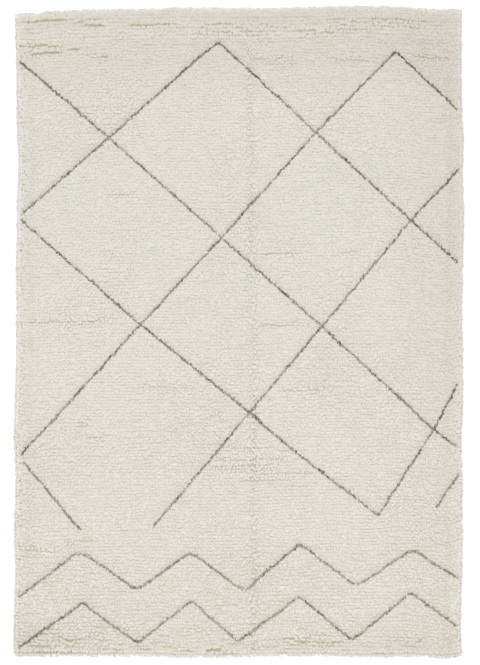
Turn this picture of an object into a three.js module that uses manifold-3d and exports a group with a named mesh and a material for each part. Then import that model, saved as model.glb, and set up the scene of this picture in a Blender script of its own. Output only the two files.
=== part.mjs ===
// A hand-knotted wool pile rug lying flat on a floor.
// It is one piece: rows of wool knots tied on a woven ground, with the pile leaning towards
// one end. The solid is ground and pile together, a lumpy slab with a flat underside, and
// the outermost tufts are locks that lean out over all four edges and rest on the floor.
// Millimetres. X runs across the rug, +Y towards its plain end, and Z up from the floor.

import * as THREE from 'three';
import { mergeVertices } from 'three/addons/utils/BufferGeometryUtils.js';
import Module from 'manifold-3d';

const wasm = await Module();
wasm.setup();

// Driving dimensions.
const WIDTH = 1600; // across, out to the tips of the edge locks
const LENGTH = 2320; // from end to end, out to the tips of the edge locks
const THICKNESS = 20; // woven ground and pile together
const RIM_HEIGHT = 6; // the slab's upright side, below its round shoulder
const SHOULDER = 30; // how far in from the rim the pile stands at its full height
const LOCK_REACH = 8; // how far a lock leans out past the slab's rim
const LOCK_PITCH = 30; // from one lock to the next along an edge
const LOCK_ROOT = 12; // how far inside the rim a lock starts
const LOCK_WIDTH = 17;
const LOCK_HEIGHT = 11;
const CELL = 48; // between the slab's grid lines, away from the rim
const RIM_LINES = [0, 4, 12, 26]; // the grid lines at the shoulder, measured in from the rim

// How far each edge strays out from a straight line, as hand-knotted edges do.
// Columns: at is the share of the edge's length, from the -Y end on the long edges and from
// the -X edge on the ends. out is the stray, and is negative where the edge draws in.
const LEFT_EDGE = [
  { at: 0.0, out: 5 },
  { at: 0.05, out: 9 },
  { at: 0.12, out: 4 },
  { at: 0.2, out: 8 },
  { at: 0.28, out: 1 },
  { at: 0.35, out: 8 },
  { at: 0.4, out: 4 },
  { at: 0.48, out: -3 },
  { at: 0.6, out: 0 },
  { at: 0.7, out: -4 },
  { at: 0.77, out: -9 },
  { at: 0.82, out: -7 },
  { at: 0.89, out: -2 },
  { at: 1.0, out: -2 },
];
const RIGHT_EDGE = [
  { at: 0.0, out: -3 },
  { at: 0.05, out: -6 },
  { at: 0.1, out: -6 },
  { at: 0.14, out: 0 },
  { at: 0.29, out: 0 },
  { at: 0.33, out: -5 },
  { at: 0.4, out: 3 },
  { at: 0.54, out: -2 },
  { at: 0.69, out: 5 },
  { at: 0.75, out: 1 },
  { at: 0.8, out: 4 },
  { at: 0.85, out: -3 },
  { at: 1.0, out: -5 },
];
const TOP_END = [
  { at: 0.0, out: -22 },
  { at: 0.03, out: -19 },
  { at: 0.08, out: -12 },
  { at: 0.16, out: -6 },
  { at: 0.27, out: -2 },
  { at: 0.38, out: 3 },
  { at: 0.54, out: 0 },
  { at: 0.64, out: 4 },
  { at: 0.75, out: 8 },
  { at: 0.86, out: 6 },
  { at: 0.94, out: -4 },
  { at: 1.0, out: -6 },
];
const BOTTOM_END = [
  { at: 0.0, out: -1 },
  { at: 0.08, out: -4 },
  { at: 0.19, out: 0 },
  { at: 0.33, out: 0 },
  { at: 0.36, out: 4 },
  { at: 0.43, out: 5 },
  { at: 0.56, out: -2 },
  { at: 0.7, out: -3 },
  { at: 0.89, out: 0 },
  { at: 0.97, out: 6 },
  { at: 1.0, out: -2 },
];

// The slow swells of the pile's surface.
// Columns: across and along are the lengths of a wave in X and Y, rise is half its height,
// and turn shifts it, in radians.
const SWELLS = [
  { across: 530, along: 640, rise: 1.0, turn: 0.4 },
  { across: 270, along: 195, rise: 0.8, turn: 2.1 },
  { across: 760, along: 130, rise: 0.9, turn: 4.0 },
];

// The main partings, where the pile opens along a row of knots and sinks.
// Columns: x and y are the middle, half is half the length, and depth is how far it sinks.
const PARTINGS = [
  { x: -698, y: 1117, half: 80, depth: 3 },
  { x: -311, y: 1097, half: 90, depth: 3 },
  { x: -72, y: 1102, half: 70, depth: 3 },
  { x: -728, y: 1018, half: 65, depth: 2 },
  { x: 274, y: 1072, half: 80, depth: 3 },
  { x: 539, y: 1117, half: 45, depth: 3 },
  { x: 689, y: 982, half: 80, depth: 2 },
  { x: -421, y: 490, half: 40, depth: 2 },
  { x: 250, y: 280, half: 180, depth: 2 },
  { x: -618, y: 34, half: 165, depth: 3 },
  { x: 238, y: -206, half: 105, depth: 2 },
  { x: 166, y: -512, half: 125, depth: 2 },
  { x: -640, y: -770, half: 130, depth: 2 },
  { x: 260, y: -1116, half: 125, depth: 3 },
];
const PARTING_WIDTH = 30;

// The faint crease along the middle, from having been folded lengthwise.
const CREASE = { x: 43, depth: 1.5, width: 32 };

const HALF_WIDTH = WIDTH / 2 - LOCK_REACH;
const HALF_LENGTH = LENGTH / 2 - LOCK_REACH;

// The stray of an edge at the share t of its length, eased between the table's rows.
function strayOf(edge, t) {
  const next = Math.max(1, edge.findIndex((row) => row.at >= t));
  const [a, b] = [edge[next - 1], edge[next]];
  return THREE.MathUtils.lerp(a.out, b.out, THREE.MathUtils.smoothstep(t, a.at, b.at));
}

// Where a point of the straight slab lies once its four edges stray.
function placed(x, y) {
  const s = (x / HALF_WIDTH + 1) / 2;
  const t = (y / HALF_LENGTH + 1) / 2;
  return [
    x + s * strayOf(RIGHT_EDGE, t) - (1 - s) * strayOf(LEFT_EDGE, t),
    y + t * strayOf(TOP_END, s) - (1 - t) * strayOf(BOTTOM_END, s),
  ];
}

// A quarter round: 0 at the rim and 1 from the shoulder inwards.
function shoulder(inset) {
  const out = 1 - Math.min(inset / SHOULDER, 1);
  return Math.sqrt(1 - out * out);
}

// How high the pile stands at a point of the straight slab.
function pileTop(x, y) {
  let top = THICKNESS;
  for (const { across, along, rise, turn } of SWELLS) {
    const wave = 2 * Math.PI * (x / across + y / along) + turn;
    const cross = 2 * Math.PI * (x / across - y / along) - turn;
    top += (rise * (Math.sin(wave) + Math.cos(cross))) / 2;
  }
  for (const parting of PARTINGS) {
    const along = (x - parting.x) / parting.half;
    const across = (y - parting.y) / PARTING_WIDTH;
    top -= parting.depth * Math.exp(-(along ** 4) - across ** 2);
  }
  top -= CREASE.depth * Math.exp(-(((x - CREASE.x) / CREASE.width) ** 2));
  const round = shoulder(HALF_WIDTH - Math.abs(x)) * shoulder(HALF_LENGTH - Math.abs(y));
  return RIM_HEIGHT + (top - RIM_HEIGHT) * round;
}

// Grid lines from -half to half: the rim's own, then even ones about a cell apart.
function gridLines(half) {
  const inner = half - RIM_LINES.at(-1);
  const cells = Math.round((2 * inner) / CELL);
  const even = Array.from({ length: cells - 1 }, (_, i) => -inner + (2 * inner * (i + 1)) / cells);
  const rim = RIM_LINES.map((inset) => half - inset);
  return [...rim.map((line) => -line), ...even, ...rim.toReversed()];
}

// The slab: a grid for the pile's surface, an upright side and a flat underside.
function slabGeometry() {
  const xs = gridLines(HALF_WIDTH);
  const ys = gridLines(HALF_LENGTH);
  const points = [];
  const faces = [];
  for (const y of ys) {
    for (const x of xs) points.push([...placed(x, y), pileTop(x, y)]);
  }
  const at = (i, j) => j * xs.length + i;
  for (let j = 0; j < ys.length - 1; j++) {
    for (let i = 0; i < xs.length - 1; i++) {
      faces.push([at(i, j), at(i + 1, j), at(i + 1, j + 1)]);
      faces.push([at(i, j), at(i + 1, j + 1), at(i, j + 1)]);
    }
  }

  // The rim's points in order, seen from above and turning left.
  const [lastX, lastY] = [xs.length - 1, ys.length - 1];
  const rim = [
    ...xs.slice(0, -1).map((_, i) => at(i, 0)),
    ...ys.slice(0, -1).map((_, j) => at(lastX, j)),
    ...xs.slice(0, -1).map((_, i) => at(lastX - i, lastY)),
    ...ys.slice(0, -1).map((_, j) => at(0, lastY - j)),
  ];
  const foot = points.length;
  for (const top of rim) points.push([points[top][0], points[top][1], 0]);
  const middle = points.push([0, 0, 0]) - 1;
  rim.forEach((top, i) => {
    const next = (i + 1) % rim.length;
    faces.push([foot + i, foot + next, rim[next]], [foot + i, rim[next], top]);
    faces.push([foot + next, foot + i, middle]);
  });
  return meshOf(points, faces);
}

function meshOf(points, faces) {
  const geometry = new THREE.BufferGeometry();
  geometry.setAttribute('position', new THREE.Float32BufferAttribute(points.flat(), 3));
  geometry.setIndex(faces.flat());
  return geometry;
}

// Where the locks stand: even steps along each edge, and one at each corner.
// Each spot is a point of the straight slab's rim and the way its lock leans out.
function lockSpots() {
  const spots = [];
  const along = (half) => {
    const count = Math.floor((2 * half) / LOCK_PITCH);
    return Array.from({ length: count }, (_, i) => (2 * half * (i + 0.5)) / count - half);
  };
  for (const side of [-1, 1]) {
    for (const x of along(HALF_WIDTH)) spots.push({ x, y: side * HALF_LENGTH, lean: [0, side] });
    for (const y of along(HALF_LENGTH)) spots.push({ x: side * HALF_WIDTH, y, lean: [side, 0] });
    for (const end of [-1, 1]) {
      spots.push({ x: side * HALF_WIDTH, y: end * HALF_LENGTH, lean: [side, end] });
    }
  }
  return spots;
}

// A steady stand-in for chance: even shares between -0.5 and 0.5, never in step.
const GOLDEN = 0.618034;
const SILVER = 0.414214;
const shareOf = (i, step) => ((i * step) % 1) - 0.5;

// One lock: three-sided, flat on the floor, widest at the rim and drawn to a point.
function lockGeometry({ x, y, lean }, i) {
  const [atX, atY] = placed(x, y);
  const out = new THREE.Vector2(...lean).normalize();
  const reach = LOCK_REACH * (1 + 0.5 * shareOf(i, GOLDEN));
  const width = LOCK_WIDTH * (1 + 0.3 * shareOf(i, SILVER));
  const height = LOCK_HEIGHT * (1 + 0.4 * shareOf(i, GOLDEN * SILVER));
  const sweep = LOCK_REACH * shareOf(i, GOLDEN + SILVER);
  const point = (forward, aside, up) => [
    atX + out.x * forward - out.y * aside,
    atY + out.y * forward + out.x * aside,
    up,
  ];
  const section = (forward, wide, up) => [
    point(forward, -wide / 2, 0),
    point(forward, wide / 2, 0),
    point(forward, 0, up),
  ];
  const points = [
    ...section(-LOCK_ROOT, width / 2, height / 2),
    ...section(0, width, height),
    point(reach, sweep, 0),
  ];
  const faces = [[0, 2, 1]];
  for (const [a, b] of [[0, 1], [1, 2], [2, 0]]) {
    faces.push([a, b, b + 3], [a, b + 3, a + 3], [a + 3, b + 3, 6]);
  }
  return meshOf(points, faces);
}

function solidOf(geometry) {
  const merged = mergeVertices(geometry);
  return new wasm.Manifold(
    new wasm.Mesh({
      numProp: 3,
      vertProperties: new Float32Array(merged.attributes.position.array),
      triVerts: new Uint32Array(merged.index.array),
    }),
  );
}

function geometryOf(solid) {
  const { vertProperties, triVerts } = solid.getMesh();
  const geometry = new THREE.BufferGeometry();
  geometry.setAttribute('position', new THREE.BufferAttribute(vertProperties, 3));
  geometry.setIndex(new THREE.BufferAttribute(triVerts, 1));
  geometry.computeVertexNormals();
  return geometry;
}

// The rug in one piece, centred over the origin.
function pileRug() {
  const locks = lockSpots().map((spot, i) => solidOf(lockGeometry(spot, i)));
  const whole = wasm.Manifold.union([solidOf(slabGeometry()), ...locks]);
  const geometry = geometryOf(whole);
  geometry.computeBoundingBox();
  const centre = geometry.boundingBox.getCenter(new THREE.Vector3());
  const wool = new THREE.MeshStandardMaterial({ color: 0xded8c9, roughness: 0.95, metalness: 0 });
  const rug = new THREE.Mesh(geometry, wool);
  rug.name = 'pile_rug';
  rug.position.set(-centre.x, -centre.y, 0);
  return rug;
}

const model = new THREE.Group();
model.add(pileRug());

export default model;
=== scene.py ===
# A hand-knotted wool pile rug lying flat, seen from straight above.
# Metres. X runs across the rug, +Y towards its plain end, and Z up from the floor.
import math

import bpy
import numpy as np
from mathutils.kdtree import KDTree
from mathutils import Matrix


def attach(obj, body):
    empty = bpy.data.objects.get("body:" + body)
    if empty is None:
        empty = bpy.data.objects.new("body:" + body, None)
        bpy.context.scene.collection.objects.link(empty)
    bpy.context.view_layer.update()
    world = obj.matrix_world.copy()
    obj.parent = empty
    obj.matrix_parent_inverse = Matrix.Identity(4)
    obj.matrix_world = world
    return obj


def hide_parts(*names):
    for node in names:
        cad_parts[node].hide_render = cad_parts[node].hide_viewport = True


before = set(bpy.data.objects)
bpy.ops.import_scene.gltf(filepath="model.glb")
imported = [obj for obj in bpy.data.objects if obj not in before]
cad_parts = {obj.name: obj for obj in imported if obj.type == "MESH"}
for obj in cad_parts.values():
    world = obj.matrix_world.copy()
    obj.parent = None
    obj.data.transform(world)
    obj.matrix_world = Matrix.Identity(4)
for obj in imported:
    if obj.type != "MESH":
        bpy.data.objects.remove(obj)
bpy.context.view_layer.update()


# The camera hangs level over the middle of the rug, as in a catalogue studio. It is a few
# millimetres off the middle, as the photograph is framed.
# A pixel of the photograph, whose frame is 480 by 665, covers 3.58 mm at the pile's height.
PIXEL = 0.00358
FRAME_PIXELS = 665
CAMERA_HEIGHT = 5.0
PILE_HEIGHT = 0.015
CAMERA_AT = (0.0038, -0.0014)
SENSOR = 24

lens = bpy.data.cameras.new("camera")
lens.sensor_fit = "VERTICAL"
lens.sensor_height = SENSOR
lens.lens = SENSOR * (CAMERA_HEIGHT - PILE_HEIGHT) / (FRAME_PIXELS * PIXEL)
lens.clip_end = 100
camera = bpy.data.objects.new("camera", lens)
camera.location = (*CAMERA_AT, CAMERA_HEIGHT)
bpy.context.scene.collection.objects.link(camera)
bpy.context.scene.camera = camera
bpy.context.scene.view_settings.view_transform = "Standard"


# A plain white studio floor and soft light: an even pale room, and one broad soft light from
# beyond the plain end that lets the rows of tufts shade each other a little.
FLOOR_SIZE = 40
FLOOR_DROP = 0.0006
ROOM_LIGHT = 0.89
SUN_LIGHT = 0.86
SUN_WIDTH = math.radians(50)
SUN_FROM = (-0.15, 0.62, 0.77)


def new_material(name, sockets):
    """A material, and its surface shader with the given sockets set."""
    material = bpy.data.materials.new(name)
    material.use_nodes = True
    shader = material.node_tree.nodes["Principled BSDF"]
    for socket, value in sockets.items():
        shader.inputs[socket].default_value = value
    return material, shader


half = FLOOR_SIZE / 2
floor_mesh = bpy.data.meshes.new("floor")
floor_mesh.from_pydata(
    [(x, y, -FLOOR_DROP) for x, y in ((-half, -half), (half, -half), (half, half), (-half, half))],
    [],
    [(0, 1, 2, 3)],
)
floor = bpy.data.objects.new("floor", floor_mesh)
bpy.context.scene.collection.objects.link(floor)
floor_paint, _ = new_material(
    "floor_paint",
    {
        "Base Color": (0.97, 0.97, 0.97, 1),
        "Roughness": 0.9,
        "Specular IOR Level": 0.1,
        "Emission Color": (1, 1, 1, 1),
        "Emission Strength": 0.5,
    },
)
floor_mesh.materials.append(floor_paint)

room = bpy.data.worlds.new("room")
bpy.context.scene.world = room
room.use_nodes = True
room.node_tree.nodes["Background"].inputs["Color"].default_value = (1, 1, 1, 1)
room.node_tree.nodes["Background"].inputs["Strength"].default_value = ROOM_LIGHT

sun_light = bpy.data.lights.new("sun", "SUN")
sun_light.energy = SUN_LIGHT
sun_light.angle = SUN_WIDTH
sun = bpy.data.objects.new("sun", sun_light)
sun.rotation_euler = (-math.asin(SUN_FROM[1]), math.atan2(SUN_FROM[0], SUN_FROM[2]), 0)
bpy.context.scene.collection.objects.link(sun)


# The knots are tied in rows on the ground, about nine rows to ten centimetres. They are what
# every other piece is laid out on: a straight grid whose four edges stray, as the rug's do.
WIDTH = 1.600
LENGTH = 2.320
RIM_REACH = 0.010
ROWS = 211
COLUMNS = 154
# Columns: the share of an edge's length, from -Y on the long edges and from -X on the ends,
# and how far it strays out there, in millimetres.
LEFT_EDGE = (
    (0.0, 8), (0.05, 8), (0.12, 4), (0.2, 7), (0.28, 1), (0.35, 8), (0.4, 4),
    (0.48, -1), (0.6, 0), (0.7, -4), (0.77, -9), (0.82, -4), (0.89, -2), (1.0, 2),
)
RIGHT_EDGE = (
    (0.0, -3), (0.05, -6), (0.1, -4), (0.14, 0), (0.29, -1), (0.33, -4), (0.4, 2),
    (0.54, -1), (0.69, 5), (0.75, 1), (0.8, 4), (0.85, -3), (1.0, -5),
)
TOP_END = (
    (0.0, -19), (0.03, -18), (0.08, -10), (0.16, -5), (0.27, -3), (0.38, 2),
    (0.54, 0), (0.64, 3), (0.75, 8), (0.86, 5), (0.94, -4), (1.0, -4),
)
BOTTOM_END = (
    (0.0, -1), (0.08, -1), (0.19, 0), (0.33, -1), (0.36, 3), (0.43, 4),
    (0.5, 3), (0.56, -2), (0.7, -2), (0.78, 2), (0.89, 0), (0.97, 6), (1.0, -1),
)
HALF_WIDTH = WIDTH / 2 - RIM_REACH
HALF_LENGTH = LENGTH / 2 - RIM_REACH
KNOT_WIDTH = 2 * HALF_WIDTH / COLUMNS
ROW_HEIGHT = 2 * HALF_LENGTH / ROWS
# The rows are tied looser at the zigzag end and closer at the plain end, by this share.
ROW_CHANGE = 0.06
# The farthest stray of each edge decides where the middle of the whole outline lies.
FARTHEST = [
    max(out for _, out in edge) / 1000 for edge in (RIGHT_EDGE, LEFT_EDGE, TOP_END, BOTTOM_END)
]
MIDDLE_X = (FARTHEST[0] - FARTHEST[1]) / 2
MIDDLE_Y = (FARTHEST[2] - FARTHEST[3]) / 2


def stray(edge, share):
    """How far an edge strays out at a share of its length, eased between the table's rows."""
    at, out = np.array(edge).T
    row = np.clip(np.searchsorted(at, share, side="right") - 1, 0, len(at) - 2)
    step = np.clip((share - at[row]) / (at[row + 1] - at[row]), 0, 1)
    return (out[row] + (out[row + 1] - out[row]) * step**2 * (3 - 2 * step)) / 1000


def placed(x, y):
    """A point of the straight grid, moved by each edge's stray in proportion to its nearness."""
    s = (x / HALF_WIDTH + 1) / 2
    t = (y / HALF_LENGTH + 1) / 2
    return (
        x + s * stray(RIGHT_EDGE, t) - (1 - s) * stray(LEFT_EDGE, t) - MIDDLE_X,
        y + t * stray(TOP_END, s) - (1 - t) * stray(BOTTOM_END, s) - MIDDLE_Y,
    )


def row_place(row):
    """Where a row lies on the straight grid, the lower edge of row 0 being at the rug's end."""
    share = row / ROWS
    return 2 * HALF_LENGTH * (share + ROW_CHANGE * share * (1 - share)) - HALF_LENGTH


row_at = row_place(np.arange(ROWS) + 0.5)
column_at = -HALF_WIDTH + (np.arange(COLUMNS) + 0.5) * KNOT_WIDTH
grid_x, grid_y = np.meshgrid(column_at, row_at)
knot_x, knot_y = placed(grid_x, grid_y)


# The pattern is tied in taupe wool as the rows are knotted: a loose lattice of diamonds, with
# two zigzags across the other end. Its lines are one strand wide and a little unsteady.
# Each line is a list of its corners in millimetres from the rug's middle.
LATTICE = (
    ((-786, 968), (-467, 696), (-64, 338), (295, 19), (695, -349), (782, -412)),
    ((-780, 420), (-467, 696), (-77, 1040), (274, 714), (614, 399), (782, 248)),
    ((782, 793), (560, 1004), (274, 714), (-64, 338), (-354, 26), (-783, -441)),
    ((-780, 399), (-354, 26), (36, -289), (168, -404), (498, -657), (695, -349), (780, -188)),
    ((788, 585), (614, 399), (295, 19), (36, -289), (-307, -696)),
    ((-773, -464), (-570, -709)),
    ((786, -507), (706, -627)),
)
ZIGZAGS = (
    (
        (-790, -949), (-584, -792), (-540, -802), (-380, -915), (-352, -914), (-180, -789),
        (-158, -797), (-15, -908), (30, -921), (84, -868), (216, -757), (410, -904), (432, -902),
        (606, -785), (640, -788), (700, -833), (784, -881),
    ),
    (
        (-790, -1127), (-558, -969), (-526, -999), (-364, -1113), (-170, -962), (-5, -1109),
        (214, -947), (404, -1102), (615, -933), (775, -1049),
    ),
)
LINE_STEP = 0.0027
LINE_ROUNDING, ROUNDING_PLACES = 0.012, 9
# How far a line wanders to the side. Part of that is slow, over so many steps, and part quick.
LINE_WANDER = 0.0013
SLOW_PART, SLOW_STEPS = 0.7, 14
QUICK_PART, QUICK_SEED = 0.8, 50
# The lines are drawn where their tips show. The pile leans, so each one's knot lies about
# this much nearer to the plain end.
TIP_SHIFT = 0.010


def wander(count, step, seed):
    """Chance along a line: normal numbers every so many places, eased between."""
    coarse = np.random.default_rng(seed).standard_normal(int(count / step) + 2)
    at = np.arange(count) / step
    i = at.astype(int)
    u = at - i
    u = u**2 * (3 - 2 * u)
    return coarse[i] * (1 - u) + coarse[i + 1] * u


def line_places(corners, seed):
    """Even steps along a line, each moved a little to the side: x, y and direction.

    The line runs straight between its corners and is rounded there, each place being the mean
    of the straight line's places up to LINE_ROUNDING before and after it. So that this holds
    at its ends too, it is first drawn on past them.
    """
    corners = np.array(corners) / 1000
    before, after = 2 * corners[0] - corners[1], 2 * corners[-1] - corners[-2]
    corners = np.vstack([before, corners, after])
    reach = np.concatenate([[0], np.cumsum(np.hypot(*np.diff(corners, axis=0).T))])
    at = np.arange(reach[1], reach[-2], LINE_STEP)
    near = at + LINE_ROUNDING * np.linspace(-1, 1, ROUNDING_PLACES)[:, None]
    x, y = (np.interp(near, reach, corners[:, axis]).mean(0) for axis in (0, 1))
    turn = np.arctan2(np.gradient(y), np.gradient(x))
    slow = SLOW_PART * wander(len(at), SLOW_STEPS, seed)
    quick = QUICK_PART * wander(len(at), 1, seed + QUICK_SEED)
    aside = LINE_WANDER * (slow + quick)
    x, y = x - MIDDLE_X, y - MIDDLE_Y
    return np.stack([x - aside * np.sin(turn), y + aside * np.cos(turn), turn])


line_x, line_y, line_turn = np.concatenate(
    [line_places(line, seed) for seed, line in enumerate((*LATTICE, *ZIGZAGS))], axis=1
)


def knot_of(x, y):
    """The row and column of the knot nearest to a place, undoing the edges' stray in steps."""
    gx, gy = x, y
    for _ in range(3):
        px, py = placed(gx, gy)
        gx, gy = gx + x - px, gy + y - py
    column = np.clip(((gx + HALF_WIDTH) / KNOT_WIDTH).astype(int), 0, COLUMNS - 1)
    row = np.clip(np.searchsorted(row_place(np.arange(ROWS + 1)), gy) - 1, 0, ROWS - 1)
    return row, column


line_knot = knot_of(line_x, line_y + TIP_SHIFT)
taupe = np.zeros((ROWS, COLUMNS), bool)
taupe[line_knot] = True


# The woven ground is a firm wool and cotton cloth, beaten down hard between the rows. From
# below each knot shows as two small pillows in its own colour. It is one sheet, 3 mm thick.
GROUND_THICKNESS = 0.003
PILLOW_HEIGHT = 0.0012
GROUND_COLOUR = (0.50, 0.45, 0.33)
BACK_COLOUR = (0.62, 0.57, 0.45)
BACK_TAUPE = (0.17, 0.13, 0.10)
# A plan of the rug fills this share of its half of the map.
PLAN_SHARE = 0.96


def corners_of(faces):
    """The point numbers of every face's corners, one after another."""
    return np.concatenate([block.ravel() for block in faces])


def new_mesh(name, points, faces, smooth=True):
    """A mesh from one array of points and a list of (faces, corners) arrays of one size each."""
    mesh = bpy.data.meshes.new(name)
    corners = corners_of(faces)
    totals = np.concatenate([np.full(len(block), block.shape[1]) for block in faces])
    mesh.vertices.add(len(points))
    mesh.vertices.foreach_set("co", points.astype(np.float32).ravel())
    mesh.loops.add(len(corners))
    mesh.loops.foreach_set("vertex_index", corners.astype(np.int32))
    mesh.polygons.add(len(totals))
    mesh.polygons.foreach_set("loop_start", (np.cumsum(totals) - totals).astype(np.int32))
    mesh.polygons.foreach_set("use_smooth", np.full(len(totals), smooth))
    mesh.update(calc_edges=True)
    return mesh


def set_map(mesh, name, places):
    """A map of the piece's surface, from one place for each corner of each face."""
    layer = mesh.uv_layers.new(name=name)
    layer.data.foreach_set("uv", places.astype(np.float32).ravel())


def set_values(mesh, name, values, domain="POINT"):
    """One named value for each point or each face, for the material to read."""
    layer = mesh.attributes.new(name, "FLOAT", domain)
    layer.data.foreach_set("value", values.astype(np.float32).ravel())


def new_piece(name, mesh, material):
    """An object at the origin that rides on the rug's one body."""
    mesh.materials.append(material)
    piece = bpy.data.objects.new(name, mesh)
    bpy.context.scene.collection.objects.link(piece)
    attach(piece, "root")
    return piece


def cells_of(index):
    """The faces of a grid of point numbers, each with its four corners turned to face up."""
    corners = (index[:-1, :-1], index[:-1, 1:], index[1:, 1:], index[1:, :-1])
    return np.stack(corners, -1).reshape(-1, 4)


def rim_of(index):
    """The numbers round the outside of a grid, once about, starting along its first row."""
    return np.concatenate([index[0, :-1], index[:-1, -1], index[-1, :0:-1], index[:0:-1, 0]])


def plan_of(points, faces):
    """The piece's plan as its map: the first array of faces on the left, the rest on the right."""
    plan = points[corners_of(faces), :2] / (2 * WIDTH, LENGTH) * PLAN_SHARE + (0.25, 0.5)
    plan[faces[0].size:, 0] += 0.5
    return plan


def ground_mesh():
    """The knot grid's corners below, one plain face above, and a wall between round the rim."""
    xs = np.linspace(-HALF_WIDTH, HALF_WIDTH, COLUMNS + 1)
    ys = row_place(np.arange(ROWS + 1))
    x, y = placed(*np.meshgrid(xs, ys))
    below = np.stack([x, y, np.zeros_like(x)], -1).reshape(-1, 3)
    index = np.arange(len(below)).reshape(x.shape)
    rim = rim_of(index)
    above = below[rim] + (0, 0, GROUND_THICKNESS)
    top = len(below) + np.arange(len(rim))
    under = cells_of(index)[:, [0, 3, 2, 1]]
    wall = np.stack([rim, np.roll(rim, -1), np.roll(top, -1), top], -1)
    faces = [under, wall, top[None]]
    points = np.concatenate([below, above])
    mesh = new_mesh("ground", points, faces, smooth=False)
    dark = np.zeros(len(mesh.polygons))
    dark[: len(under)] = taupe.ravel()
    set_values(mesh, "taupe", dark, "FACE")
    set_map(mesh, "OFBake", plan_of(points, faces))
    knots = np.stack(np.meshgrid(range(COLUMNS + 1), range(ROWS + 1)), -1).reshape(-1, 2)
    set_map(mesh, "knots", np.concatenate([knots, knots[rim]])[corners_of(faces)])
    return mesh


def node(tree, kind, **values):
    """A shader node with its properties and its unlinked inputs set by name."""
    made = tree.nodes.new(kind)
    for name, value in values.items():
        if name in made.inputs:
            made.inputs[name].default_value = value
        else:
            setattr(made, name, value)
    return made


def ground_material():
    """Cloth with two pillows at every knot: two half waves along its row, times one across it.

    The pillows' height also mixes the knot's own colour, ivory or taupe, over the weft's.
    """
    material, shader = new_material(
        "ground_weave", {"Roughness": 0.95, "Specular IOR Level": 0.2, "Sheen Weight": 0.2}
    )
    tree = material.node_tree
    knots = node(tree, "ShaderNodeUVMap", uv_map="knots")
    parts = node(tree, "ShaderNodeSeparateXYZ")
    tree.links.new(knots.outputs["UV"], parts.inputs[0])
    waves = []
    for axis, per_knot in (("X", 2.0), ("Y", 1.0)):
        turn = node(tree, "ShaderNodeMath", operation="MULTIPLY")
        turn.inputs[1].default_value = math.pi * per_knot
        tree.links.new(parts.outputs[axis], turn.inputs[0])
        wave = node(tree, "ShaderNodeMath", operation="SINE")
        tree.links.new(turn.outputs[0], wave.inputs[0])
        size = node(tree, "ShaderNodeMath", operation="ABSOLUTE")
        tree.links.new(wave.outputs[0], size.inputs[0])
        waves.append(size)
    pillow = node(tree, "ShaderNodeMath", operation="MULTIPLY")
    tree.links.new(waves[0].outputs[0], pillow.inputs[0])
    tree.links.new(waves[1].outputs[0], pillow.inputs[1])
    bump = node(tree, "ShaderNodeBump", Strength=0.6, Distance=PILLOW_HEIGHT)
    tree.links.new(pillow.outputs[0], bump.inputs["Height"])
    tree.links.new(bump.outputs["Normal"], shader.inputs["Normal"])
    dark = node(tree, "ShaderNodeAttribute", attribute_name="taupe")
    wool = node(tree, "ShaderNodeMix", data_type="RGBA")
    wool.inputs["A"].default_value = (*BACK_COLOUR, 1)
    wool.inputs["B"].default_value = (*BACK_TAUPE, 1)
    tree.links.new(dark.outputs["Fac"], wool.inputs["Factor"])
    weft = node(tree, "ShaderNodeMix", data_type="RGBA")
    weft.inputs["A"].default_value = (*GROUND_COLOUR, 1)
    tree.links.new(pillow.outputs[0], weft.inputs["Factor"])
    tree.links.new(wool.outputs["Result"], weft.inputs["B"])
    tree.links.new(weft.outputs["Result"], shader.inputs["Base Color"])
    return material


ground = new_piece("woven_ground", ground_mesh(), ground_material())
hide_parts("pile_rug")


# The pile is cut wool yarn: each knot stands up in two strands about 20 mm long. They lean
# towards the zigzag end, so every row lies like a shingle over the next, and at the rim they
# lean out and down to the floor.
PILE_TOP = 0.020
RIM_TOP = 0.010
SHOULDER = 0.022
# Past the rim the pile falls by this many of its shoulder's heights to the metre, over this
# reach, but never below the lowest tip.
RIM_FALL = 60
FALL_REACH = 0.02
LOWEST_TIP = 0.0015
# How far a strand leans inside the rug and at its edges, and how wide each edge's zone is.
LEAN = 0.011
SIDE_LEAN = 0.0095
TOP_LEAN = 0.0125
BOTTOM_LEAN = 0.0125
SIDE_SPREAD = 0.024
TOP_SPREAD = 0.090
BOTTOM_SPREAD = 0.045
# The share of its lean towards the zigzag end that a strand at the side gives up.
SIDE_LOSS = 0.7


def ramp(at, start, reach):
    """0 up to the start, rising evenly to 1 over the reach after it."""
    return np.clip((at - start) / reach, 0, 1)


def pile_height(x, y):
    """How high the tips stand over a place on the straight grid.

    It is level inside, comes down to the rim in a quarter round, and then falls steeply.
    """
    rounds = 1
    for inset in (HALF_WIDTH + RIM_REACH / 2 - abs(x), HALF_LENGTH + RIM_REACH / 2 - abs(y)):
        rounds = rounds * np.sqrt(1 - (1 - ramp(inset, 0, SHOULDER)) ** 2)
        rounds = rounds + RIM_FALL * np.clip(inset, -FALL_REACH, 0)
    return np.maximum(RIM_TOP + (PILE_TOP - RIM_TOP) * rounds, LOWEST_TIP)


def outward(inset, spread):
    """How strongly a strand leans out: 1 at the outermost, falling evenly to 0 inside."""
    return np.clip(1 - inset / spread, 0, 1)


side = np.sign(grid_x) * outward(HALF_WIDTH - KNOT_WIDTH / 2 - abs(grid_x), SIDE_SPREAD)
top_end = outward(HALF_LENGTH - ROW_HEIGHT / 2 - grid_y, TOP_SPREAD)
bottom_end = outward(HALF_LENGTH - ROW_HEIGHT / 2 + grid_y, BOTTOM_SPREAD)
inside = (1 - abs(side)) * (1 - top_end) * (1 - bottom_end)
even_lean_x = SIDE_LEAN * side
even_lean_y = (
    -LEAN * (1 - abs(side) * SIDE_LOSS) * (1 - top_end) * (1 - bottom_end)
    + TOP_LEAN * top_end
    - BOTTOM_LEAN * bottom_end
)


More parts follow.
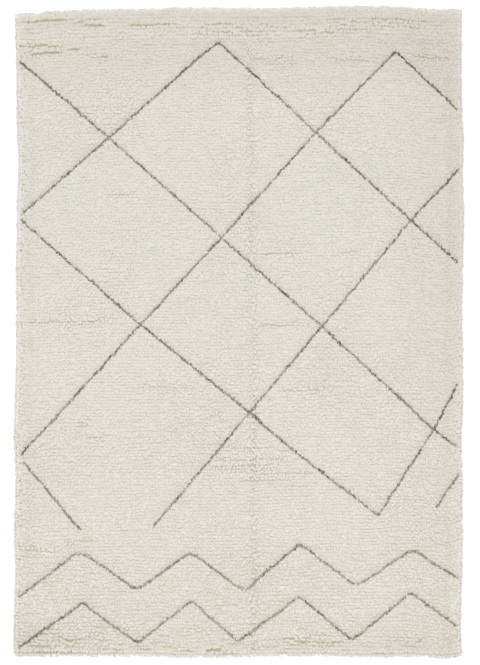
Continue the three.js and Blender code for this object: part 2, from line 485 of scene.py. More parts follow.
# Here and there the pile parts along a row and dips, with painted shade in the opening. Above a
# parting's line the tips are pushed back, and the tufts on both sides get painted shade on the flank
# that faces the line.
# Columns: the middle in x and y, half the length, how far it tilts over that half, and how
# wide it opens, all in millimetres but the last, which is a share of fully open.
PARTINGS = (
    (-698, 1111, 86, 5, 0.8),
    (-545, 1113, 38, 2, 0.7),
    (-522, 1096, 40, -4, 0.9),
    (-311, 1097, 91, 4, 0.7),
    (-10, 1067, 193, 0, 0.5),
    (-77, 1097, 67, 5, 0.65),
    (-10, 1085, 62, 0, 0.5),
    (122, 1092, 61, -3, 0.55),
    (130, 975, 89, 0, 0.35),
    (150, 954, 66, -2, 0.3),
    (-755, 1024, 22, -2, 0.8),
    (-712, 1019, 80, -2, 0.75),
    (-687, 994, 66, 6, 0.85),
    (-594, 1005, 25, 5, 0.7),
    (-508, 984, 43, -5, 0.6),
    (274, 1070, 79, -7, 0.7),
    (468, 1117, 158, 0, 0.6),
    (392, 1102, 27, 9, 0.7),
    (476, 1105, 44, -2, 0.6),
    (560, 1093, 105, -4, 0.5),
    (360, 1088, 60, 5, 0.45),
    (600, 1107, 90, 2, 0.5),
    (450, 1080, 110, 3, 0.4),
    (689, 982, 79, -3, 0.5),
    (400, 972, 90, -3, 0.35),
    (-421, 490, 36, -5, 0.35),
    (-460, 277, 25, -2, 0.4),
    (140, 279, 77, 2, 0.35),
    (390, 282, 48, 2, 0.3),
    (-618, 34, 165, 0, 0.4),
    (140, 18, 75, 2, 0.35),
    (172, 27, 52, 0, 0.25),
    (238, -206, 104, 3, 0.3),
    (20, -418, 110, 2, 0.25),
    (40, -456, 140, -2, 0.3),
    (30, -483, 150, 3, 0.3),
    (60, -497, 120, -2, 0.3),
    (166, -512, 125, 2, 0.3),
    (110, -530, 110, 4, 0.25),
    (-250, -199, 100, -3, 0.25),
    (-558, -331, 22, 0, 0.5),
    (-512, -381, 30, 0, 0.5),
    (-567, -756, 50, 5, 0.4),
    (-705, -783, 66, 0, 0.5),
    (-725, -1112, 50, -3, 0.6),
    (-610, -1106, 80, 2, 0.45),
    (-690, -1128, 70, 0, 0.5),
    (-640, -1148, 113, 0, 0.65),
    (-93, -1146, 30, 2, 0.9),
    (193, -1108, 55, 0, 0.6),
    (283, -1118, 101, -2, 0.65),
    (648, -1108, 12, 0, 0.9),
)
# How blunt a parting's ends are, and within how many rows of its line the tips are pushed
# back and the pile is low.
BLUNT_ENDS = 1.4
PUSHED_ROWS = 1.6
LOW_ROWS = 1.2

pushed = np.zeros((ROWS, COLUMNS))
opened = np.zeros((ROWS, COLUMNS))
# How much painted shade a tuft's flank gets: above 0 the one towards the plain end, below 0 the
# other.
flank_shade = np.zeros((ROWS, COLUMNS))
for x, y, reach, tilt, width in PARTINGS:
    along = (knot_x * 1000 - x) / reach
    above = ((knot_y + even_lean_y) * 1000 - y - tilt * along) / (ROW_HEIGHT * 1000)
    window = width * np.clip(BLUNT_ENDS * (1 - along**4), 0, 1)
    near = np.clip(PUSHED_ROWS - abs(above), 0, 1)
    pushed = np.maximum(pushed, window * near * (above > 0))
    opened = np.maximum(opened, window * np.clip(LOW_ROWS - abs(above), 0, 1))
    shaded_flank = -np.sign(above) * window * near
    flank_shade = np.where(abs(shaded_flank) > abs(flank_shade), shaded_flank, flank_shade)


# No two tufts stand quite alike. The pile grows looser towards the zigzag end, the rows stand
# apart here and there near both ends, and a faint ripple runs the rug's length where it was
# once folded.
LOOSE_START, LOOSE_REACH = -0.4, 1.2
# Where the rows stand apart: strongest at the zigzag end's left corner, by this slant.
BOTTOM_BARE_START, BOTTOM_BARE_REACH, BARE_SLANT = 0.99, 0.09, 0.45
TOP_BARE_START, TOP_BARE_REACH, TOP_BARE = 1.0, 0.06, 0.5
# They keep off the rim, and chance has to be above this for a place to stand apart.
BARE_INSIDE = 3
BARE_ABOVE, BARE_MOST = 0.1, 0.8
# How far such a place opens, against a parting that is fully open.
BARE_OPEN = 0.35
# All over the rug the rows' flanks towards the zigzag end, away from the sun, get painted shade,
# more where the pile is loose.
FACING_SHADE = 0.14
LOOSE_SHADE = 0.32
# Chance is added to this mean, and the sum is kept between none and this most.
FACING_MEAN, FACING_MOST = 0.4, 2
# How rough the pile is: more where it is loose, in patches, and least at the rim.
LOOSE_ROUGH = 0.15
PATCH_ROUGH = 0.15
RIM_ROUGH = 0.3
ROUGH_INSIDE = 1.5
# The ripple's place at the rug's middle, and how far it has gone over to the left by each
# metre up from there, between these two places.
RIPPLE_AT = 0.051
RIPPLE_TILT = 0.011
RIPPLE_SPAN = (-0.3, 0.8)
RIPPLE_WIDTH = 0.009
RIPPLE_ROUGH = 0.75
# How far the pile dips there, and its tufts lean away to both sides. Both are uneven along
# it: they are this mean and this much of chance, up to this most.
RIPPLE_DIP = 0.0003
RIPPLE_LEAN = 0.0015
RIPPLE_MEAN, RIPPLE_CHANCE, RIPPLE_MOST = 0.9, 1.1, 3


def drift(row_step, column_step, seed):
    """Chance that wanders: normal numbers on a coarse grid, eased between to one for each knot.

    The coarse grid has a number for every so many rows and columns, and the seed draws it.
    """
    count = (math.ceil(ROWS / row_step) + 2, math.ceil(COLUMNS / column_step) + 2)
    coarse = np.random.default_rng(seed).standard_normal(count)
    at_row, at_column = np.arange(ROWS) / row_step, np.arange(COLUMNS) / column_step
    i, j = at_row.astype(int), at_column.astype(int)
    u, v = at_row - i, at_column - j
    u, v = (u**2 * (3 - 2 * u))[:, None], v**2 * (3 - 2 * v)
    low = coarse[i][:, j] * (1 - v) + coarse[i][:, j + 1] * v
    high = coarse[i + 1][:, j] * (1 - v) + coarse[i + 1][:, j + 1] * v
    return low * (1 - u) + high * u


loose = ramp(-grid_y, LOOSE_START, LOOSE_REACH)

bare = ramp(-grid_y, BOTTOM_BARE_START, BOTTOM_BARE_REACH)
bare = bare * (1 - BARE_SLANT * grid_x / HALF_WIDTH)
bare = bare + TOP_BARE * ramp(grid_y, TOP_BARE_START, TOP_BARE_REACH)
bare = bare * np.clip(BARE_INSIDE * inside, 0, 1)
bare = bare * np.clip(drift(1, 3, 35) - BARE_ABOVE, 0, BARE_MOST)
pushed = np.maximum(pushed, BARE_OPEN * bare)
opened = np.maximum(opened, BARE_OPEN * bare)

flank_shade = flank_shade - bare - FACING_SHADE * np.clip(FACING_MEAN + drift(1, 6, 36), 0, FACING_MOST)
flank_shade = flank_shade - LOOSE_SHADE * loose * np.clip(FACING_MEAN + drift(1, 3, 39), 0, FACING_MOST)
flank_shade[:-1] += bare[1:]
flank_shade = np.clip(flank_shade, -1, 1)

ripple = (knot_x - RIPPLE_AT + RIPPLE_TILT * np.clip(knot_y, *RIPPLE_SPAN)) / RIPPLE_WIDTH
uneven = np.clip(RIPPLE_MEAN + RIPPLE_CHANCE * drift(2, 60, 41), 0, RIPPLE_MOST)
ripple_dip = RIPPLE_DIP * uneven * np.exp(-(ripple**2))
ripple_lean = RIPPLE_LEAN * uneven * ripple * np.exp(-(ripple**2) / 2)

well_inside = np.clip(ROUGH_INSIDE * inside, 0, 1)
rough = 1 + LOOSE_ROUGH * loose
rough *= (1 + PATCH_ROUGH * drift(22, 18, 11)) * (RIM_ROUGH + (1 - RIM_ROUGH) * well_inside)
rough *= 1 + RIPPLE_ROUGH * np.exp(-(ripple**2) / 2)


# What every knot gives its two strands: their lean, how far they rise above the even pile, how far
# they spread, and their tone, which also carries painted light and shade. A tone of 0 is the wool's
# dark and 1 its light.

# How far the tips are pushed back above a parting that is fully open.
OPEN_LEAN = 0.007
# How far chance moves the tips: to sway is along the rug and to shift is across it, both for
# a stretch of a row or for one knot, and some rows together wander along it.
ROW_SWAY = 0.0012
ROW_SHIFT = 0.0020
ROW_WANDER = 0.0018
KNOT_SWAY = 0.0011
KNOT_SHIFT = 0.0019
# By what share of itself the wander of the rows grows where the pile is loose.
LOOSE_WANDER = 1.2
# How far the pile swells and sinks in patches.
SWELL = 0.0002
# Where the tips stand wider apart or further behind each other, the strands grow by these
# shares to fill the room: at the plain end, in its last rows, in a parting, in the corners,
# at the sides, and in the zigzag end's last rows.
TOP_WIDE = 0.25
LAST_WIDE, LAST_ROWS = 0.25, 0.9
OPEN_WIDE = 0.3
CORNER_WIDE = 0.5
SIDE_LONG = 0.2
BOTTOM_LONG, BOTTOM_ROWS = 0.3, 0.5
# The tone of an even tuft, and how far chance changes it: along a row, on a long stretch of
# it, in a belt of rows and in a patch.
EVEN_TONE = 0.5
ROW_TONE = 0.01
LONG_TONE = 0.016
BELT_TONE = 0.006
PATCH_TONE = 0.006
# The loose pile is painted lighter, making up for the deeper shade there, and the rim gets painted
# light, as the floor's light comes through its thin wool. It is lightest at the very edge, and a
# higher power keeps that to fewer knots: at the sides, at the plain end and at the zigzag end.
LOOSE_LIGHT = 0.135
RIM_PAINTED_LIGHT = 0.30
SIDE_POWER, TOP_POWER, BOTTOM_POWER = 4, 14, 5
# Some places look darker: a border inside the rim, the plain end and most its right, the right
# side and most its upper part, and the corners at the zigzag end. Each has its strength, where
# it starts, and over what reach it grows.
SHADE_TONE = 0.22
BORDER_SHADE, BORDER_START, BORDER_REACH = 0.4, -0.065, 0.02
PLAIN_RIGHT, PLAIN_START, PLAIN_REACH = 0.25, 0.84, 0.14
RIGHT_SHADE, RIGHT_START, RIGHT_REACH = 0.9, 0.5, 0.25
UPPER_START, UPPER_REACH = -1.3, 2.1
CORNER_SHADE, CORNER_START, CORNER_REACH = 0.9, 1.0, 0.08
MOST_SHADE = 1.45

knot_lean_x = (
    even_lean_x
    + ripple_lean
    + ROW_SHIFT * inside * drift(1, 9, 13)
    + KNOT_SHIFT * rough * drift(1, 1, 27)
)
knot_lean_y = (
    even_lean_y
    + OPEN_LEAN * pushed
    + ROW_SWAY * rough * drift(1, 3, 14)
    + ROW_WANDER * (1 + LOOSE_WANDER * loose) * inside * drift(5, 12, 24)
    + KNOT_SWAY * rough * drift(1, 1, 28)
)
knot_lift = SWELL * drift(14, 13, 16) - ripple_dip

knot_wide = 1 + SIDE_LEAN / SIDE_SPREAD * (side != 0) + TOP_WIDE * (top_end > 0) + OPEN_WIDE * opened
knot_wide = knot_wide + CORNER_WIDE * abs(side) * np.maximum(top_end, bottom_end)
knot_wide = knot_wide + LAST_WIDE * (top_end > LAST_ROWS)
knot_long = 1 + (TOP_LEAN + LEAN) / TOP_SPREAD * (top_end > 0) + SIDE_LONG * (side != 0)
knot_long = knot_long + BOTTOM_LONG * (bottom_end > BOTTOM_ROWS)

rim_light = np.maximum.reduce(
    [abs(side) ** SIDE_POWER, top_end**TOP_POWER, bottom_end**BOTTOM_POWER]
)
across = grid_x / HALF_WIDTH
inset = np.minimum(HALF_WIDTH - abs(grid_x), HALF_LENGTH - abs(grid_y))
shaded = BORDER_SHADE * ramp(-inset, BORDER_START, BORDER_REACH)
shaded = shaded + ramp(grid_y, PLAIN_START, PLAIN_REACH) * (1 - PLAIN_RIGHT + PLAIN_RIGHT * across)
right = ramp(grid_x, RIGHT_START, RIGHT_REACH) * ramp(grid_y, UPPER_START, UPPER_REACH)
shaded = shaded + RIGHT_SHADE * right
shaded = shaded + CORNER_SHADE * across**4 * ramp(-grid_y, CORNER_START, CORNER_REACH)
shaded = np.minimum(shaded, MOST_SHADE)
knot_tone_light_and_shade = (
    EVEN_TONE
    + ROW_TONE * rough * drift(1, 3, 17)
    + LOOSE_LIGHT * loose
    + LONG_TONE * drift(1, 12, 37)
    + BELT_TONE * drift(4, 16, 38)
    + PATCH_TONE * drift(10, 10, 18)
    + RIM_PAINTED_LIGHT * rim_light
    - SHADE_TONE * shaded
)


# The ivory strands are spun wool, thin where they leave the knot and fluffed out at the cut
# tip. They are made in five bands of rows, and stay clear of the taupe strands between them.
STRAND_WIDTH = 0.0073
STRAND_DEPTH = 0.0132
# A strand is thickest at this share of its lean, and this far below its tip, but not lower
# over the floor than this.
RING_AT = 0.84
RING_DROP = 0.0022
LOWEST_RING = 0.0008
RING = 6
RING_TURN = np.arange(RING) / RING * math.tau
# The normals at the ring lie this far over from straight up.
NORMAL_TILT = math.radians(31)
NORMAL_OUT, NORMAL_UP = math.sin(NORMAL_TILT), math.cos(NORMAL_TILT)
# How far a knot's two strands stand from its middle, as a share of its width. Near the sides,
# where they lean apart, that distance grows.
APART = 0.16
SPREAD_APART = 2.2
# How far chance moves each strand by itself.
ROOT_STRAY = 0.0008
STRAND_SWAY = 0.0011
STRAND_LIFT = 0.0006
STRAND_TONE = 0.035
STRAND_TURN = 0.15
RAGGED = 0.17
# Where the pile is loose, the tufts look rounder, get more of the root's painted shade at their
# edges, and differ more in tone.
LOOSE_ROUND = 0.85
LOOSE_EDGE_SHADE = 0.08
LOOSE_TONE = 0.9
# How much nearer to the root's painted shade a shaded flank is.
FLANK_SHADE_RISE = 0.5
# One strand's faces: a fan from the root to the ring, and a fan from the ring to the tip.
SIDES = np.arange(RING)
NEXT = np.roll(SIDES, -1)
ROOT_FAN = np.stack([np.zeros(RING, int), 1 + NEXT, 1 + SIDES], -1)
TIP_FAN = np.stack([1 + SIDES, 1 + NEXT, np.full(RING, RING + 1)], -1)
# On the map a strand is seen from its tip: one ring in another, in a cell of its own.
MAP_ROOT, MAP_RING = 0.46, 0.30
# Painted shade: deep in the pile, towards its roots, the wool is painted this darker, warmer colour.
ROOT_SHADE_COLOUR = (0.60, 0.52, 0.318)
WOOL_DARK = (0.66, 0.63, 0.555)
WOOL_LIGHT = (0.98, 0.96, 0.915)
# The root's painted shade turns into the tip's colour from this rise up.
SHADE_FROM = 0.3
# Fine fibres run along the strands' lean. They darken the wool by up to this share, and
# these are the noise's values for the darkest and the lightest.
STREAK = 0.16
STREAK_VALUES = (0.35, 0.65)
FINE_SCALE = 900.0
FINE_STRETCH = (1.0, 0.22, 0.22)
FINE_RELIEF = 0.0012
BANDS, BAND_SEED = 5, 30
# How near to a taupe tip an ivory one may come.
LINE_CLEAR = 0.0026
# Beside a line the pile is painted as if in a slight groove: painted shade on its side towards the
# sun, and painted light on the other.
GROOVE_REACH = 0.021
GROOVE_SLOPE = 0.014
GROOVE_EASE = 1.5
GROOVE_SHADE = 0.31
GROOVE_LIGHT = 0.07


def strands(x, y, knot, lean_x, lean_y, turn, seed):
    """Every strand's own root, lean, tone, turn and shape, each a little off what it is given."""
    # Seven draws are for the whole strand, and then comes one for each point of its ring.
    whole = 7
    chance = np.random.default_rng(seed).standard_normal((whole + RING, len(x)))
    ragged = 1 + RAGGED * chance[whole:].T
    lean_x = lean_x + STRAND_SWAY * rough[knot] * chance[2]
    lean_y = lean_y + STRAND_SWAY * rough[knot] * chance[3]
    tip_x = grid_x[knot] + lean_x + x - knot_x[knot]
    tip_y = grid_y[knot] + lean_y + y - knot_y[knot]
    even = pile_height(tip_x, tip_y)
    return {
        "root": np.stack([x + ROOT_STRAY * chance[0], y + ROOT_STRAY * chance[1]], -1),
        "lean": np.stack([lean_x, lean_y], -1),
        "lift": (knot_lift[knot] + STRAND_LIFT * chance[4]) * even / PILE_TOP,
        "over": np.stack([tip_x, tip_y], -1),
        "tone": knot_tone_light_and_shade[knot] + STRAND_TONE * (1 + LOOSE_TONE * loose[knot]) * chance[5],
        "flank_shade": flank_shade[knot],
        "round": NORMAL_OUT * (1 + LOOSE_ROUND * loose[knot]),
        # The ring's rise is below 1, so every strand's edges get a little of the root's painted
        # shade.
        "ring_rise": RING_AT - LOOSE_EDGE_SHADE * loose[knot],
        "turn": turn + STRAND_TURN * chance[6],
        "wide": ragged,
        "long": ragged.copy(),
    }


def strand_points(strand, width, depth):
    """Eight points to a strand: its root, a ring of six round its thickest place, and its tip.

    The ring is a ragged oval just below the tip and almost as far out along the lean. It lies
    as the pile does there: level inside the rug, and sloping down at its rim. The normals at
    the ring are only part way out from straight up, since wool scatters light through itself
    and doesn't shade like a hard surface.
    """
    count = len(strand["turn"])
    top = pile_height(*strand["over"].T) + strand["lift"]
    root = np.column_stack([strand["root"], np.full(count, GROUND_THICKNESS / 2)])
    tip = np.column_stack([strand["root"] + strand["lean"], top])
    across = np.cos(RING_TURN) * strand["wide"] * width / 2
    along = np.sin(RING_TURN) * strand["long"] * depth / 2
    cos, sin = np.cos(strand["turn"])[:, None], np.sin(strand["turn"])[:, None]
    out = np.stack([across * cos - along * sin, across * sin + along * cos], -1)
    over = strand["over"][:, None] - strand["lean"][:, None] * (1 - RING_AT) + out
    ring_z = pile_height(over[..., 0], over[..., 1]) + strand["lift"][:, None] - RING_DROP
    ring_z = np.maximum(ring_z, LOWEST_RING)[..., None]
    middle = strand["root"] + strand["lean"] * RING_AT
    ring = np.concatenate([middle[:, None] + out, ring_z], -1)
    fall = (ring[..., 2] - top[:, None] + RING_DROP)[..., None] / depth
    out /= np.linalg.norm(out, axis=-1, keepdims=True)
    side_on = strand["round"][:, None, None] - fall
    away = np.concatenate([out * side_on, np.full((count, RING, 1), NORMAL_UP)], -1)
    away /= np.linalg.norm(away, axis=-1, keepdims=True)
    up = np.tile([0.0, 0.0, 1.0], (count, 1, 1))
    points = np.concatenate([root[:, None], ring, tip[:, None]], 1)
    return points.reshape(-1, 3), np.concatenate([up, away, up], 1).reshape(-1, 3)


def strand_map(count):
    """The map's places for every face corner, first the root fans and then the tip fans."""
    cells = math.ceil(math.sqrt(count))
    number = np.arange(count)
    middle = (np.stack([number % cells, number // cells], -1) + 0.5)[:, None, None]
    ring = MAP_RING * np.stack([np.cos(RING_TURN), np.sin(RING_TURN)], -1)
    half_turn = RING_TURN + math.pi / RING
    foot = MAP_ROOT * np.stack([np.cos(half_turn), np.sin(half_turn)], -1)
    root = np.stack([foot, ring[NEXT], ring], 1)
    tip = np.stack([ring, ring[NEXT], 0 * ring], 1)
    return np.concatenate([((middle + part) / cells).reshape(-1, 2) for part in (root, tip)])


def strand_mesh(name, strand, width, depth):
    """All the strands of a piece, joined in one mesh.

    Its points carry their strand's tone, and how far up they are from the root's painted shade
    towards the tip's colour.
    """
    points, normals = strand_points(strand, width, depth)
    count = len(strand["turn"])
    first = ((RING + 2) * np.arange(count))[:, None, None]
    faces = [(first + fan).reshape(-1, 3) for fan in (ROOT_FAN, TIP_FAN)]
    mesh = new_mesh(name, points, faces)
    mesh.normals_split_custom_set_from_vertices(normals)
    set_map(mesh, "OFBake", strand_map(count))
    shaded_flank = np.sin(RING_TURN + strand["turn"][:, None]) * strand["flank_shade"][:, None]
    rise = np.tile(strand["ring_rise"][:, None], RING + 2)
    rise[:, 1:-1] -= FLANK_SHADE_RISE * np.clip(shaded_flank, 0, 1)
    rise[:, 0], rise[:, -1] = 0, 1
    set_values(mesh, "rise", rise)
    set_values(mesh, "tone", np.repeat(strand["tone"], RING + 2))
    return mesh


def wool_material(name, root, dark, light):
    """Wool with painted shade darkest at its root, each tuft's own tone, and fine fibres along it.

    The tone mixes the dark and light wool, and the rise eases from the root's painted shade to that.
    A noise drawn out along the strand streaks and roughens it.
    """
    material, shader = new_material(
        name,
        {
            "Roughness": 0.92,
            "Specular IOR Level": 0.15,
            "Sheen Weight": 0.25,
            "Sheen Roughness": 0.5,
        },
    )
    tree = material.node_tree
    own_tone = node(tree, "ShaderNodeAttribute", attribute_name="tone")
    yarn = node(tree, "ShaderNodeMix", data_type="RGBA")
    yarn.inputs["A"].default_value = (*dark, 1)
    yarn.inputs["B"].default_value = (*light, 1)
    tree.links.new(own_tone.outputs["Fac"], yarn.inputs["Factor"])
    rise = node(tree, "ShaderNodeAttribute", attribute_name="rise")
    shade = node(tree, "ShaderNodeMapRange", interpolation_type="SMOOTHSTEP")
    shade.inputs["From Min"].default_value = SHADE_FROM
    shade.inputs["From Max"].default_value = 1.0
    tree.links.new(rise.outputs["Fac"], shade.inputs["Value"])
    wool = node(tree, "ShaderNodeMix", data_type="RGBA")
    wool.inputs["A"].default_value = (*root, 1)
    tree.links.new(shade.outputs["Result"], wool.inputs["Factor"])
    tree.links.new(yarn.outputs["Result"], wool.inputs["B"])
    place = node(tree, "ShaderNodeTexCoord")
    stretch = node(tree, "ShaderNodeMapping")
    stretch.inputs["Scale"].default_value = FINE_STRETCH
    tree.links.new(place.outputs["Object"], stretch.inputs["Vector"])
    fibre = node(tree, "ShaderNodeTexNoise", Scale=FINE_SCALE, Detail=3.0, Roughness=0.6)
    tree.links.new(stretch.outputs["Vector"], fibre.inputs["Vector"])
    bump = node(tree, "ShaderNodeBump", Strength=0.7, Distance=FINE_RELIEF)
    tree.links.new(fibre.outputs["Fac"], bump.inputs["Height"])
    tree.links.new(bump.outputs["Normal"], shader.inputs["Normal"])
    streak = node(tree, "ShaderNodeMapRange")
    streak.inputs["From Min"].default_value = STREAK_VALUES[0]
    streak.inputs["From Max"].default_value = STREAK_VALUES[1]
    streak.inputs["To Min"].default_value = 1 - STREAK
    tree.links.new(fibre.outputs["Fac"], streak.inputs["Value"])
    streaked = node(tree, "ShaderNodeVectorMath", operation="SCALE")
    tree.links.new(wool.outputs["Result"], streaked.inputs[0])
    tree.links.new(streak.outputs["Result"], streaked.inputs["Scale"])
    tree.links.new(streaked.outputs["Vector"], shader.inputs["Base Color"])
    return material


taupe_tips = KDTree(len(line_x))
for number, (x, y) in enumerate(zip(line_x, line_y)):
    taupe_tips.insert((x, y, 0), number)
taupe_tips.balance()


def from_the_lines(x, y):
    """How far each tip stands from the nearest taupe one, and what share of that is sunward."""
    nearest = np.array([taupe_tips.find((*place, 0))[1] for place in zip(x, y)])
    across, along = x - line_x[nearest], y - line_y[nearest]
    far = np.hypot(across, along)
    return far, (across * SUN_FROM[0] + along * SUN_FROM[1]) / (far * math.hypot(*SUN_FROM[:2]))


def band_mesh(band):
    """The strands of one band of rows, two to a knot, without those that a line would meet."""
    rows = np.arange(ROWS * band // BANDS, ROWS * (band + 1) // BANDS)
    knots = np.meshgrid(rows, np.arange(COLUMNS), [-APART, APART], indexing="ij")
    row, column, aside = (part.ravel() for part in knots)
    aside = aside * KNOT_WIDTH * np.where(side[row, column] == 0, 1, SPREAD_APART)
    root_x, root_y = placed(grid_x[row, column] + aside, grid_y[row, column])
    far, sunward = from_the_lines(
        root_x + knot_lean_x[row, column], root_y + knot_lean_y[row, column]
    )
    clear = far > LINE_CLEAR
    knot = row[clear], column[clear]
    lean_x, lean_y = knot_lean_x[knot], knot_lean_y[knot]
    turn = np.arctan2(lean_x - even_lean_x[knot], LEAN)
    strand = strands(root_x[clear], root_y[clear], knot, lean_x, lean_y, turn, BAND_SEED + band)
    shade = np.where(sunward > 0, GROOVE_SHADE, GROOVE_LIGHT) * sunward
    groove = ramp(-far, -GROOVE_REACH, GROOVE_SLOPE) ** GROOVE_EASE
    strand["tone"] -= (shade * groove)[clear]
    strand["wide"] *= knot_wide[knot][:, None]
    strand["long"] *= knot_long[knot][:, None]
    return strand_mesh("pile", strand, STRAND_WIDTH, STRAND_DEPTH)


ivory_wool = wool_material("ivory_wool", ROOT_SHADE_COLOUR, WOOL_DARK, WOOL_LIGHT)
bands = [
    new_piece(f"pile_band_{band + 1}", band_mesh(band), ivory_wool)
    for band in range(BANDS)
]


# Below their tips the strands stand packed so close that they look like one mass of wool. It
# dips to the roots where the pile parts, and runs out over the ground's edge at the rim.

# It lies this far below the tips, more where the pile is rough, and dips by this much more
# in a parting that is fully open. It stays this far over the ground.
PACKED_BELOW = 0.0030
PACKED_DIP = 0.005
PACKED_OVER = 0.0005
# How far out along their knot's lean its points are.
PACKED_OUT = 0.7
# How far its colour is from the root's painted shade towards the tip's, and how much more painted
# shade a parting gives it.
PACKED_RISE = 0.85
PACKED_PARTING_SHADE = 0.30


def packed_mesh():
    """A surface over the knots' grid, closed by a wall down to the ground and a face below.

    Each point lies part way out along its knot's lean, and a little below the tips there.
    """
    out_x, out_y = PACKED_OUT * knot_lean_x, PACKED_OUT * knot_lean_y
    even = pile_height(grid_x + out_x, grid_y + out_y) * (1 + knot_lift / PILE_TOP)
    z = even - PACKED_BELOW * np.maximum(1, rough) - PACKED_DIP * opened
    z = np.maximum(z, GROUND_THICKNESS + PACKED_OVER)
    # Every second column is enough, and the outermost one on each side.
    some = np.r_[0 : COLUMNS - 1 : 2, COLUMNS - 1]
    above = np.stack([knot_x + out_x, knot_y + out_y, z], -1)[:, some].reshape(-1, 3)
    index = np.arange(len(above)).reshape(ROWS, len(some))
    rim = rim_of(index)
    low = np.full_like(z, GROUND_THICKNESS / 2)
    below = np.stack([knot_x, knot_y, low], -1)[:, some].reshape(-1, 3)[rim]
    foot = len(above) + np.arange(len(rim))
    wall = np.stack([foot, np.roll(foot, -1), np.roll(rim, -1), rim], -1)
    faces = [cells_of(index), wall, foot[None, ::-1]]
    points = np.concatenate([above, below])
    mesh = new_mesh("packed", points, faces)
    set_map(mesh, "OFBake", plan_of(points, faces))
    rise = PACKED_RISE - PACKED_PARTING_SHADE * opened[:, some]
    set_values(mesh, "rise", np.concatenate([rise.ravel(), np.zeros(len(rim))]))
    set_values(mesh, "tone", np.full(len(points), EVEN_TONE))
    return mesh


packed_pile = new_piece("packed_pile", packed_mesh(), ivory_wool)


# The pattern's strands are undyed brown wool, knotted in with the ivory ones. They are finer,
# stand a little higher, and differ in thickness and tone along each line.
# Painted shade: towards their roots the taupe strands are painted this colour.
TAUPE_ROOT_SHADE = (0.168, 0.15, 0.115)
TAUPE_DARK = (0.102, 0.09, 0.071)
TAUPE_LIGHT = (0.662, 0.60, 0.497)
TAUPE_WIDTH = 0.0054
TAUPE_DEPTH = 0.0085
TAUPE_RISE = 0.0010
# Where a line runs out thin: a place in millimetres and how far round it that reaches. There
# its strands keep this share of their width, and are lighter.
FADES = (
    (596, 384, 26), (508, -640, 20), (-60, 345, 20), (52, -916, 12), (-352, -1108, 16),
    (-774, -452, 18), (-470, 700, 12),
)
FADED_WIDTH = 0.35
FADED_TONE = 0.3
PATTERN_SEED = 40
# How chance changes the strands along a line.
# Columns: how much, over how many steps along the line, and the seed.
LINE_CHANCE = {
    "lift": ((0.0004, 4, 60),),
    "turn": ((0.6, 1, 63),),
    "wide": ((0.18, 9, 61), (0.12, 1, 66)),
    "long": ((0.25, 1, 64),),
    "tone": ((0.12, 9, 62), (0.25, 1, 65)),
}


def along_lines(what, start=0):
    """The start value, changed by chance for each strand as the table says."""
    parts = (much * wander(len(line_x), step, seed) for much, step, seed in LINE_CHANCE[what])
    return sum(parts, start)


def pattern_mesh():
    """A strand at every step of every line, its tip on the line and its ring turned along it."""
    root_x, root_y = line_x - even_lean_x[line_knot], line_y - even_lean_y[line_knot]
    lean_x, lean_y = even_lean_x[line_knot], even_lean_y[line_knot]
    turn = line_turn + math.pi / 2
    strand = strands(root_x, root_y, line_knot, lean_x, lean_y, turn, PATTERN_SEED)
    full = np.ones(len(line_x))
    for x, y, reach in FADES:
        far = np.hypot(line_x * 1000 - x, line_y * 1000 - y) / reach
        full = np.minimum(full, FADED_WIDTH + (1 - FADED_WIDTH) * np.clip(far, 0, 1) ** 2)
    strand["lift"] += TAUPE_RISE * full + along_lines("lift")
    strand["turn"] += along_lines("turn")
    strand["wide"] *= (full * along_lines("wide", 1))[:, None]
    strand["long"] *= along_lines("long", 1)[:, None]
    strand["tone"] += along_lines("tone") + FADED_TONE * (1 - full)
    return strand_mesh("pattern", strand, TAUPE_WIDTH, TAUPE_DEPTH)


taupe_wool = wool_material("taupe_wool", TAUPE_ROOT_SHADE, TAUPE_DARK, TAUPE_LIGHT)
pattern_strands = new_piece("pattern_strands", pattern_mesh(), taupe_wool)


# Loose fibres stand out from the rim all round, each a thin spike of wool, and make its edge
# look soft. They start inside the outermost strands.
FIBRES, FIBRE_SEED = 9000, 71
FIBRE_RADIUS = 0.0004
FIBRE_HEIGHTS = (0.002, 0.009)
# Each reaches out by chance, most of them less than this, and the longest so many times it.
# It droops by this share of its height, and fans out to either side.
FIBRE_REACH = 0.0125
FIBRE_SPREAD = (1.6, 0.6)
FIBRE_LONGEST = 1.6
FIBRE_DROOP = 0.4
FIBRE_FAN = 0.5
# The fibres get painted light at their bases, where they shade each other, and painted shade at
# their tips, which stand out in full light.
FIBRE_BASE_LIGHT = 1.0
FIBRE_TIP_SHADE = 0.3
# A fibre's base is a triangle with one corner up, and four faces close the spike.
FIBRE_SIDES = 3
FIBRE_FACES = ((0, 2, 1), (0, 1, 3), (1, 2, 3), (2, 0, 3))
# On the map each face has a cell of its own, with its corners here in it.
MAP_CORNERS = ((0.1, 0.1), (0.9, 0.1), (0.1, 0.9))


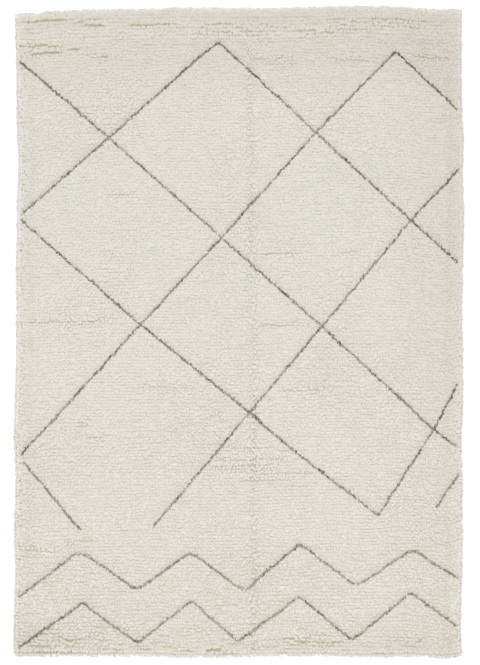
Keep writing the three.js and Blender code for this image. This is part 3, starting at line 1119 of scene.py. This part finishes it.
def fibre_mesh():
    """Spikes of three sides, from a small triangle inside the rim to a point out over the floor."""
    chance = np.random.default_rng(FIBRE_SEED)
    lengths = np.array([2 * HALF_WIDTH, 2 * HALF_LENGTH, 2 * HALF_WIDTH, 2 * HALF_LENGTH])
    ends = np.cumsum(lengths)
    at = chance.uniform(0, ends[-1], FIBRES)
    edge = np.searchsorted(ends, at, side="right")
    along = at - (ends - lengths)[edge] - lengths[edge] / 2
    side_at = HALF_WIDTH + SIDE_LEAN
    reach = np.choose(edge, [HALF_LENGTH + BOTTOM_LEAN, side_at, HALF_LENGTH + TOP_LEAN, side_at])
    out_x = np.choose(edge, [0, 1, 0, -1])
    out_y = np.choose(edge, [-1, 0, 1, 0])
    x = np.where(edge % 2, out_x * reach, along)
    y = np.where(edge % 2, along, out_y * reach)
    x, y = placed(x, y)
    aim = np.arctan2(out_y, out_x) + FIBRE_FAN * chance.standard_normal(FIBRES)
    length = FIBRE_REACH * np.minimum(chance.gamma(*FIBRE_SPREAD, FIBRES), FIBRE_LONGEST)
    height = chance.uniform(*FIBRE_HEIGHTS, FIBRES)
    root = np.stack([x, y, height], -1)
    tip = root + np.stack([np.cos(aim) * length, np.sin(aim) * length, -FIBRE_DROOP * height], -1)
    turn = math.pi / 2 + np.arange(FIBRE_SIDES) / FIBRE_SIDES * math.tau
    up = np.array([0.0, 0.0, 1.0])
    across = np.stack([-np.sin(aim), np.cos(aim), np.zeros(FIBRES)], -1)[:, None]
    ring = across * np.cos(turn)[:, None] + np.sin(turn)[:, None] * up
    points = np.concatenate([root[:, None] + FIBRE_RADIUS * ring, tip[:, None]], 1).reshape(-1, 3)
    first = ((FIBRE_SIDES + 1) * np.arange(FIBRES))[:, None, None]
    faces = (first + np.array(FIBRE_FACES)).reshape(-1, 3)
    mesh = new_mesh("fibres", points, [faces])
    away = np.concatenate([ring + up, np.tile(up, (FIBRES, 1, 1))], 1)
    away /= np.linalg.norm(away, axis=-1, keepdims=True)
    mesh.normals_split_custom_set_from_vertices(away.reshape(-1, 3))
    cells = math.ceil(math.sqrt(len(faces)))
    number = np.arange(len(faces))
    cell = np.stack([number % cells, number // cells], -1)[:, None]
    set_map(mesh, "OFBake", (cell + np.array(MAP_CORNERS)) / cells)
    set_values(mesh, "rise", np.ones(len(points)))
    base_light_tip_shade = [FIBRE_BASE_LIGHT] * FIBRE_SIDES + [FIBRE_TIP_SHADE]
    set_values(mesh, "tone", np.tile(base_light_tip_shade, FIBRES))
    return mesh


pile_fibres = new_piece("pile_fibres", fibre_mesh(), ivory_wool)
